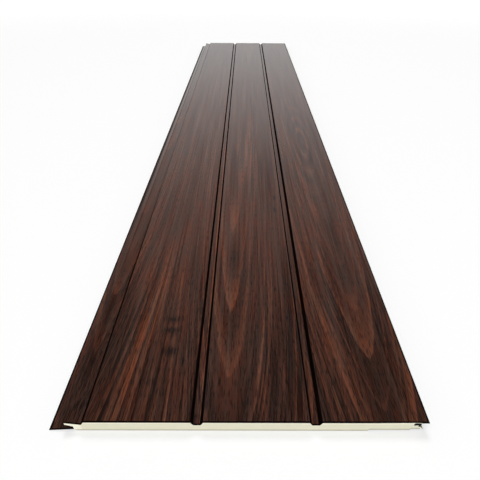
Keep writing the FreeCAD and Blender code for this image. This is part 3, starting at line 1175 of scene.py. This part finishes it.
def add_camera():
    """Camera at the photograph's place: down by the pitch, aside by the yaw and turned by the roll."""
    data = bpy.data.cameras.new("Camera")
    data.sensor_width = SENSOR
    data.lens = SENSOR * FOCAL_PIXELS / IMAGE_PIXELS
    data.shift_x = -OFFSET_PIXELS / IMAGE_PIXELS
    data.clip_start, data.clip_end = CAMERA_CLIP
    camera = bpy.data.objects.new("Camera", data)
    ahead = Vector((math.sin(CAMERA_YAW) * math.cos(CAMERA_PITCH),
                    math.cos(CAMERA_YAW) * math.cos(CAMERA_PITCH), -math.sin(CAMERA_PITCH)))
    level = Vector((math.cos(CAMERA_YAW), -math.sin(CAMERA_YAW), 0.0))
    upright = level.cross(ahead)
    right = math.cos(CAMERA_ROLL) * level + math.sin(CAMERA_ROLL) * upright
    up = math.cos(CAMERA_ROLL) * upright - math.sin(CAMERA_ROLL) * level
    turned = Matrix((right, up, -ahead)).transposed().to_4x4()
    camera.matrix_world = Matrix.Translation(CAMERA_PLACE) @ turned
    bpy.context.scene.collection.objects.link(camera)
    bpy.context.scene.camera = camera


def add_lamp(name, place, target, size, power, mirrored):
    """A square area lamp that faces its target."""
    data = bpy.data.lights.new(name, "AREA")
    data.shape = "SQUARE"
    data.size = size
    data.energy = power
    lamp = bpy.data.objects.new(name, data)
    aim = (Vector(target) - Vector(place)).to_track_quat("-Z", "Y")
    lamp.matrix_world = Matrix.Translation(place) @ aim.to_matrix().to_4x4()
    lamp.visible_glossy = mirrored
    bpy.context.scene.collection.objects.link(lamp)


def studio_world():
    """World that is white at the horizon and darker overhead, and plain white for the camera."""
    world = bpy.data.worlds.new("Studio")
    bpy.context.scene.world = world
    world.use_nodes = True
    tree = world.node_tree
    background = tree.nodes["Background"]
    height = split(tree, new_node(tree, "TexCoord").outputs["Generated"])["Z"]
    sky = colour_ramp(tree, height, [(sine, (level,) * 3) for sine, level in SKY_LEVELS])
    seen = new_node(tree, "LightPath").outputs["Is Camera Ray"]
    join(tree, blend_colours(tree, seen, sky, WHITE), background.inputs["Color"])


def floor_material():
    """White floor: its own lit colour, topped up to white where the camera or a gloss sees it.

    The lamps' light falls off with distance, so the top-up grows with the distance from the middle.
    """
    material, tree, shader = new_material("Floor")
    path = new_node(tree, "LightPath")
    seen = maths(tree, "MAXIMUM", path.outputs["Is Camera Ray"], path.outputs["Is Glossy Ray"])
    away = new_node(tree, "VectorMath", operation="LENGTH")
    join(tree, new_node(tree, "TexCoord").outputs["Object"], away.inputs[0])
    level = maths(tree, "MULTIPLY", between(tree, away.outputs["Value"], *FLOOR_LIFT), seen)
    join(tree, blend_colours(tree, level, BLACK, WHITE), shader.inputs["Emission Color"])
    set_inputs(shader, {"Base Color": FLOOR_COLOUR, "Roughness": 1.0, "Specular IOR Level": 0.0,
                        "Emission Strength": 1.0})
    return material


def add_floor():
    """A square floor around the origin, which belongs to the stage."""
    corners = [(x * FLOOR_HALF, y * FLOOR_HALF, 0) for x, y in ((-1, -1), (1, -1), (1, 1), (-1, 1))]
    mesh = bpy.data.meshes.new("floor")
    mesh.from_pydata(corners, [], [(0, 1, 2, 3)])
    mesh.materials.append(floor_material())
    floor = bpy.data.objects.new("floor", mesh)
    bpy.context.scene.collection.objects.link(floor)


class PLANK_OT_stage(bpy.types.Operator):
    """Makes the floor, the studio light and the camera"""

    bl_idname = "plank.stage"
    bl_label = "Stage"

    def execute(self, context):
        context.scene.view_settings.view_transform = "Standard"
        add_floor()
        studio_world()
        for lamp in LAMPS:
            add_lamp(*lamp)
        add_camera()
        return {"FINISHED"}


class PLANK_PT_panel(bpy.types.Panel):
    """Lists the plank's pieces and its stage"""

    bl_idname = "PLANK_PT_panel"
    bl_label = "Siding plank"
    bl_space_type = "VIEW_3D"
    bl_region_type = "UI"
    bl_category = "Plank"

    def draw(self, context):
        for maker in OPERATORS:
            self.layout.operator(maker.bl_idname)


OPERATORS = (PLANK_OT_face_sheet, PLANK_OT_foam_core, PLANK_OT_backing_foil,
             PLANK_OT_seal_strip, PLANK_OT_stage)
CLASSES = (PlankSizes, PlankColours, *OPERATORS, PLANK_PT_panel)


def register():
    for item in CLASSES:
        bpy.utils.register_class(item)
    bpy.types.Scene.plank_sizes = PointerProperty(type=PlankSizes)
    bpy.types.Scene.plank_colours = PointerProperty(type=PlankColours)


def unregister():
    del bpy.types.Scene.plank_colours
    del bpy.types.Scene.plank_sizes
    for item in reversed(CLASSES):
        bpy.utils.unregister_class(item)


def main():
    """Registers the classes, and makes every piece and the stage."""
    register()
    bpy.ops.plank.face_sheet()
    bpy.ops.plank.foam_core()
    bpy.ops.plank.backing_foil()
    bpy.ops.plank.seal_strip()
    bpy.ops.plank.stage()


if __name__ == "__main__":
    main()
